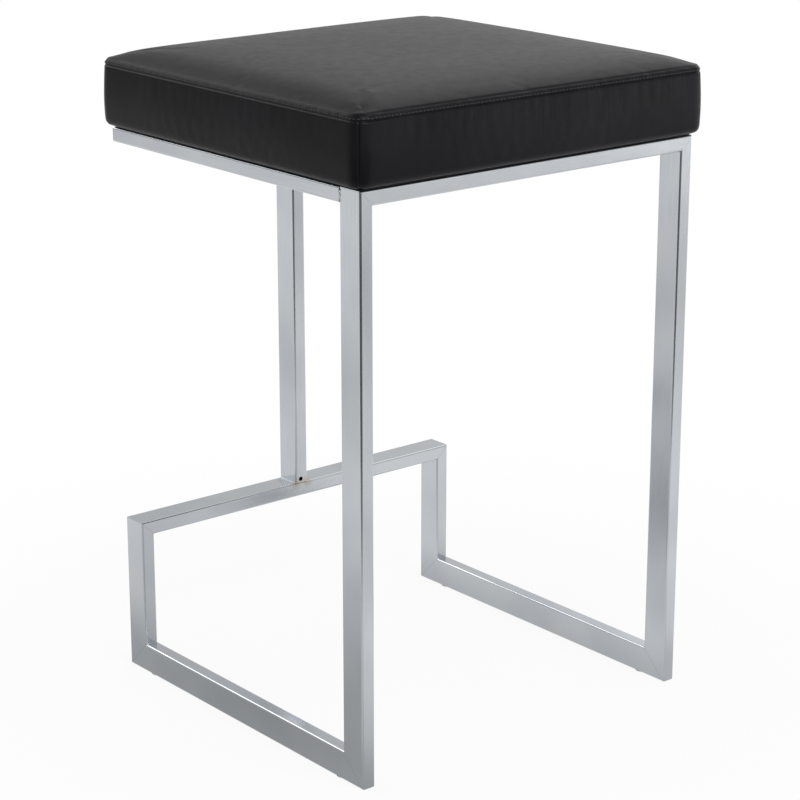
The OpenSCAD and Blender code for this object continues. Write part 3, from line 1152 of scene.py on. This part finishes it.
    def stitches(self, cover: Form) -> Form:
        """Sews a row of stitches along the top edge, just above the seam.

        Args:
            cover: The finished cover, which the stitches lie on.

        Returns:
            All the stitches as one bmesh.
        """
        surface = BVHTree.FromBMesh(cover)
        form = bmesh.new()
        bmesh.ops.create_uvsphere(form, u_segments=8, v_segments=5, radius=1.0)
        stitch = bpy.data.meshes.new("stitch")
        form.to_mesh(stitch)
        form.free()
        form = bmesh.new()
        level = self.seam_z + self.stitch_rise
        radius = self.corner_r - self.seam_draw
        straights = (self.half_d - self.corner_r, self.half_w - self.corner_r)
        size = (self.stitch_length / 2, self.thread_r, self.thread_r * self.thread_flat, 1.0)
        for side in range(4):
            turn = Matrix.Rotation(side * math.pi / 2, 3, "Z")
            half, reach = straights[side % 2], straights[(side + 1) % 2]
            length = 2 * half + math.pi / 2 * radius
            count = round(length / self.stitch_pitch)
            for i in range(count):
                along = (i + 0.5) * length / count
                if along < 2 * half:
                    place = Vector((reach + radius, along - half, level))
                    tangent = Vector((0, 1, 0))
                else:
                    angle = (along - 2 * half) / radius
                    way = Vector((math.cos(angle), math.sin(angle), 0))
                    place = Vector((reach, half, level)) + way * radius
                    tangent = Vector((-way.y, way.x, 0))
                spot, normal, _, _ = surface.find_nearest(turn @ place)
                across = normal.cross(turn @ tangent).normalized()
                slant = self.stitch_slant * math.sin(self.stitch_step * i)
                along_seam = across.cross(normal) + across * slant
                basis = Matrix((along_seam, across, normal)).transposed().to_4x4()
                shift = Matrix.Translation(spot + normal * self.thread_r * self.thread_lift)
                copy = stitch.copy()
                copy.transform(shift @ basis @ Matrix.Diagonal(size))
                form.from_mesh(copy)
                bpy.data.meshes.remove(copy)
        return form

    def build(self) -> list[Piece]:
        """Builds the pad and its stitches.

        Returns:
            The pieces, which ride on the stool.
        """
        form = self.block()
        self.shape(form)
        pad = new_piece("seat_pad", form, self.leather)
        self.inflate(pad)
        form = self.refine(pad)
        bpy.data.objects.remove(pad)
        self.cut_seams(form)
        self.sew(form)
        self.settle_height(form)
        self.close_underside(form)
        threads = self.stitches(form)
        pad = new_piece("seat_pad", form, self.leather)
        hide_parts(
            "seat_foam",
            "cover_top_panel",
            "cover_right_band",
            "cover_back_band",
            "cover_left_band",
            "cover_front_band",
        )
        return [pad, new_piece("seam_stitches", threads, self.thread)]


@dataclass
class DustCloth:
    """The cloth stretched under the board, held between the pad and the frame's rails.

    Its sag ends at the side rails, and a little sooner at the front and at the back.
    """

    cloth: Material
    cell: float = 9 * MM
    sag: float = 1.4 * MM
    shorter: float = 10 * MM
    creases: Waves = Waves(0.4 * MM, 0.0, 30 * MM, 60 * MM, 9.0)
    thickness: float = 0.4 * MM

    def build(self) -> list[Piece]:
        """Builds the cloth with a slight sag between the rails.

        Returns:
            The one piece.
        """
        low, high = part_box("dust_cover")
        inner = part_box("right_top_rail")[0].x
        spans = (inner, inner - self.shorter)
        flat = (high.x - low.x, high.y - low.y)
        form = bmesh.new()
        counts = [round(length / self.cell) for length in flat]
        bmesh.ops.create_grid(form, x_segments=counts[0], y_segments=counts[1], size=0.5)
        bmesh.ops.scale(form, vec=(*flat, 1.0), verts=form.verts)
        middle = (low.z + high.z) / 2
        for vert in form.verts:
            x, y, _ = vert.co
            depth = (1 - smoothstep(0.0, spans[0], abs(x))) * (1 - smoothstep(0.0, spans[1], abs(y)))
            vert.co.z = middle - depth * (self.sag + self.creases.at(x, y))
        bmesh.ops.solidify(form, geom=form.faces[:], thickness=self.thickness)
        lift = middle + self.thickness / 2 - max(vert.co.z for vert in form.verts)
        bmesh.ops.translate(form, vec=(0, 0, lift), verts=form.verts)
        piece = new_piece("dust_cloth", form, self.cloth)
        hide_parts("dust_cover")
        return [piece]


@dataclass
class TubeFrame:
    """The welded frame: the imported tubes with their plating, and the weld beads in the corners."""

    bead_r: float = 1.2 * MM
    bead_sides: int = 10
    bead_waist: float = 0.78
    bead_tip: float = 0.45
    bead_merge: float = 1e-7
    ripple: float = 1.7 * MM
    edge_r: float = 2 * MM
    filler_proud: float = 0.03 * MM
    filler_lap: float = 0.6 * MM
    mitre_share: float = 0.75
    flat_mitre_share: float = 0.8
    butt_share: float = 0.6

    def __post_init__(self) -> None:
        """Reads the frame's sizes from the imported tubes."""
        low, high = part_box("back_right_leg")
        self.half_w: float = high.x
        self.half_d: float = high.y
        self.thin: float = high.x - low.x
        self.broad: float = high.y - low.y
        self.foot_z: float = low.z
        self.top_z: float = high.z
        self.rest_z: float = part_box("footrest_bar")[1].z

    def joints(self) -> tuple[WeldPlane, ...]:
        """Lists the welded joints' planes.

        Returns:
            The planes, in coordinates with x folded to the right.
        """
        upright_x = self.half_w - self.thin / 2
        end_y = self.half_d - self.broad / 2
        flat_x = self.half_w - self.broad / 2
        foot = self.foot_z + self.broad / 2
        under_top = self.top_z - self.thin / 2
        under_rest = self.rest_z - self.thin / 2
        planes = (
            ((0, 1, 1), (upright_x, end_y, foot), self.mitre_share),
            ((0, -1, 1), (upright_x, -end_y, foot), self.mitre_share),
            ((1, 0, -1), (upright_x, end_y, under_top), self.mitre_share),
            ((1, 0, -1), (upright_x, -end_y, under_rest), self.mitre_share),
            ((1, 1, 0), (flat_x, -end_y, under_top), self.flat_mitre_share),
            ((0, 1, 0), (flat_x, self.half_d - self.broad, under_top), self.butt_share),
            ((0, 0, 1), (0, -end_y, self.rest_z), self.butt_share),
            ((0, 0, 1), (0, -end_y, self.top_z - self.thin), self.butt_share),
        )
        return tuple(
            WeldPlane(Vector(normal).normalized(), Vector(point), share * self.broad)
            for normal, point, share in planes
        )

    def bead(self, form: Form, start: Vector, end: Vector) -> None:
        """Lays one rippled weld bead along an inner corner.

        Args:
            form: The bmesh that takes the bead.
            start: One end of the corner.
            end: The other end.
        """
        way = end - start
        turn = way.to_track_quat("Z", "Y").to_matrix().to_4x4()
        made = bmesh.ops.create_cone(
            form,
            cap_ends=True,
            segments=self.bead_sides,
            radius1=self.bead_r,
            radius2=self.bead_r,
            depth=way.length,
            matrix=Matrix.Translation((start + end) / 2) @ turn,
        )["verts"]
        edges = dict.fromkeys(edge for vert in made for edge in vert.link_edges)
        faces = dict.fromkeys(face for vert in made for face in vert.link_faces)
        parts = [*made, *edges, *faces]
        count = max(3, round(way.length / self.ripple) * 2)
        for i in range(1, count):
            point = start + way * (i / count)
            plane = {"plane_co": point, "plane_no": way.normalized()}
            cut = bmesh.ops.bisect_plane(form, geom=parts, dist=self.bead_merge, **plane)
            parts = list(dict.fromkeys(cut["geom"] + cut["geom_cut"]))
            size = 1.0 if i % 2 else self.bead_waist
            for vert in (part for part in cut["geom_cut"] if isinstance(part, bmesh.types.BMVert)):
                vert.co = point + (vert.co - point) * size
        for vert in made:
            foot = start if (vert.co - start).length < (vert.co - end).length else end
            vert.co = foot + (vert.co - foot) * self.bead_tip

    def beads(self) -> Form:
        """Lays the beads in the frame's inner corners.

        Returns:
            All the beads as one bmesh.
        """
        form = bmesh.new()
        inner_y = self.half_d - self.broad
        short = 1.5 * self.bead_r
        floor_z = self.foot_z + self.broad
        under_top = self.top_z - self.thin
        for side in (-1, 1):
            outer = side * (self.half_w - short)
            inner = side * (self.half_w - self.thin + short)
            upright = side * (self.half_w - self.thin)
            rail = side * (self.half_w - self.broad)
            post = side * self.thin / 2
            lines = [((outer, y, floor_z), (inner, y, floor_z)) for y in (-inner_y, inner_y)]
            for y, z in ((self.half_d, under_top), (-inner_y, self.rest_z - self.thin)):
                lines.append(((upright, y - short, z), (upright, y - self.broad + short, z)))
            for y in (-inner_y, inner_y):
                lines.append(((rail, y, self.top_z - 2 * short), (rail, y, under_top + short)))
            for z in (self.rest_z, under_top):
                lines.append(((post, -inner_y - short, z), (post, -self.half_d + short, z)))
            for start, end in lines:
                self.bead(form, Vector(start), Vector(end))
            self.fill_groove(form, side)
        return form

    def fill_groove(self, form: Form, side: int) -> None:
        """Fills the groove beside a leg's rounded edge, where the side rail butts against it.

        Args:
            form: The bmesh that takes the filler.
            side: 1 for the right-hand side and -1 for the left.
        """
        size = (self.edge_r, self.edge_r + 2 * self.filler_lap, self.thin - 2 * self.edge_r, 1.0)
        x = side * (self.half_w + self.filler_proud - self.edge_r / 2)
        middle = Vector((x, self.half_d - self.broad + self.edge_r / 2, self.top_z - self.thin / 2))
        bmesh.ops.create_cube(form, size=1.0, matrix=Matrix.Translation(middle) @ Matrix.Diagonal(size))

    def build(self) -> list[Piece]:
        """Plates the tubes and adds the weld beads.

        Returns:
            The new pieces.
        """
        tint = Vector((self.thin / 2, -self.half_d + self.broad, self.rest_z))
        legs = ["back_right_leg", "back_left_leg", "right_footrest_upright", "left_footrest_upright"]
        tubes = {
            Run.UPRIGHT: [*legs, "centre_post"],
            Run.ALONG: ["right_top_rail", "left_top_rail", "right_floor_rail", "left_floor_rail"],
            Run.ACROSS: ["back_top_rail", "front_top_rail", "footrest_bar"],
        }
        for run, names in tubes.items():
            name = f"satin_chrome_plate_{run.name.lower()}"
            plate = SatinChrome(name, run, joints=self.joints(), tint_place=tint).build()
            for node in names:
                dress_node(node, plate)
        return [new_piece("weld_beads", self.beads(), plate)]


@dataclass(frozen=True)
class Lamp:
    """A soft square lamp: its name, its place, the length of its sides and its power in watts."""

    name: str
    place: tuple[float, float, float]
    size: float
    power: float


@dataclass
class Studio:
    """A pale floor, a white surround, two soft lamps and the camera."""

    azimuth: float = math.radians(50.64)
    elevation: float = math.radians(17.05)
    distance: float = 2.517
    aim: Vector = Vector((0, 0, 0.303))
    focal_px: float = 2440.0
    picture_px: float = 800.0
    sensor: float = 36.0
    clip: Span = (0.1, 50.0)
    floor_size: float = 14.0
    world_light: float = 0.6
    walls: Span = (0.3, 0.85)
    wall_span: Span = (-0.9, -0.1)
    ceiling: float = 0.64
    ceiling_span: Span = (0.18, 0.5)
    window: float = 0.9
    window_way: tuple[float, float, float] = (-0.8, -0.25, 0.55)
    window_span: Span = (0.86, 0.97)
    lamps: tuple[Lamp, ...] = (
        Lamp("key_lamp", (0.0, 2.4, 2.1), 1.8, 44.0),
        Lamp("edge_lamp", (1.0, -2.4, 2.2), 2.2, 28.0),
    )

    def camera(self) -> None:
        """Sets the camera up at the photograph's viewing angle."""
        data = bpy.data.cameras.new("camera")
        data.sensor_width = self.sensor
        data.lens = self.focal_px / self.picture_px * self.sensor
        data.clip_start, data.clip_end = self.clip
        camera = bpy.data.objects.new("camera", data)
        around, up = self.azimuth, self.elevation
        back = Vector((math.cos(around) * math.cos(up), math.sin(around) * math.cos(up), math.sin(up)))
        camera.location = self.aim + back * self.distance
        camera.rotation_euler = (-back).to_track_quat("-Z", "Y").to_euler()
        bpy.context.scene.collection.objects.link(camera)
        bpy.context.scene.camera = camera

    def floor(self) -> None:
        """Lays the floor."""
        form = bmesh.new()
        bmesh.ops.create_grid(form, x_segments=2, y_segments=2, size=self.floor_size / 2)
        new_object("floor", form, PaleFloor(azimuth=self.azimuth).build())

    def world(self) -> None:
        """Surrounds the stool with even light, white to the camera.

        Glossy rays see a room instead: walls that are dim on one side, a dimmer ceiling, and a
        window high up behind the stool.
        """
        world = bpy.data.worlds.new("surround")
        bpy.context.scene.world = world
        world.use_nodes = True
        tree = world.node_tree
        tree.nodes.clear()
        path = add_node(tree, "LightPath").outputs
        way = add_node(tree, "TexCoord").outputs["Generated"]
        side = Vector((-math.cos(self.azimuth), math.sin(self.azimuth), 0))
        aside = add_node(tree, "VectorMath", {0: way, 1: side}, operation="DOT_PRODUCT")
        walls = add_node(tree, "MapRange", span(aside, self.wall_span, self.walls))
        height = add_node(tree, "SeparateXYZ", {0: way}).outputs["Z"]
        dimmed = add_node(tree, "MapRange", span(height, self.ceiling_span, (walls, self.ceiling)), **SMOOTH)
        ends = {0: way, 1: Vector(self.window_way).normalized()}
        facing = add_node(tree, "VectorMath", ends, operation="DOT_PRODUCT")
        window = add_node(tree, "MapRange", span(facing, self.window_span, (0.0, self.window)), **SMOOTH)
        room = add_node(tree, "Math", {0: dimmed, 1: window}, operation="ADD")
        light = add_node(tree, "MapRange", span(path["Is Glossy Ray"], (0.0, 1.0), (self.world_light, room)))
        rays = {0: path["Is Camera Ray"], 1: path["Is Transmission Ray"]}
        seen = add_node(tree, "Math", rays, operation="MAXIMUM")
        strength = add_node(tree, "MapRange", span(seen, (0.0, 1.0), (light, 1.0)))
        white = add_node(tree, "Background", {"Color": WHITE, "Strength": strength})
        add_node(tree, "OutputWorld", {"Surface": white})

    def hang(self, lamp: Lamp) -> None:
        """Hangs one lamp, turned to the stool.

        Args:
            lamp: What it is and where it hangs.
        """
        data = bpy.data.lights.new(lamp.name, "AREA")
        data.shape = "SQUARE"
        data.size = lamp.size
        data.energy = lamp.power
        hung = bpy.data.objects.new(lamp.name, data)
        hung.location = lamp.place
        hung.rotation_euler = (self.aim - Vector(lamp.place)).to_track_quat("-Z", "Y").to_euler()
        hung.visible_camera = False
        bpy.context.scene.collection.objects.link(hung)

    def build(self) -> None:
        """Builds the whole studio."""
        self.camera()
        self.floor()
        self.world()
        for lamp in self.lamps:
            self.hang(lamp)
        bpy.context.scene.view_settings.view_transform = "Standard"


def main() -> None:
    """Builds the studio and the stool's sub-assemblies, and reports each piece."""
    logging.basicConfig(level=logging.INFO, format="%(name)s: %(message)s")
    Studio().build()
    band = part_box("cover_back_band")
    leather = FauxLeather(seam_z=band[1].z, long_side=band[1].y).build()
    pieces = SeatPad(leather, BondedThread().build()).build()
    pieces += DustCloth(SpunbondCloth().build()).build()
    pieces += TubeFrame().build()
    dress_node("seat_board", BirchPlywood().build())
    dress_node("floor_glides", NaturalNylon().build())
    zinc = ZincPlate().build()
    for name in ("t_nuts", "washers", "seat_bolts"):
        dress_node(name, zinc)
    LOG.info("built %s", ", ".join(piece.name for piece in pieces))


if __name__ == "__main__":
    main()
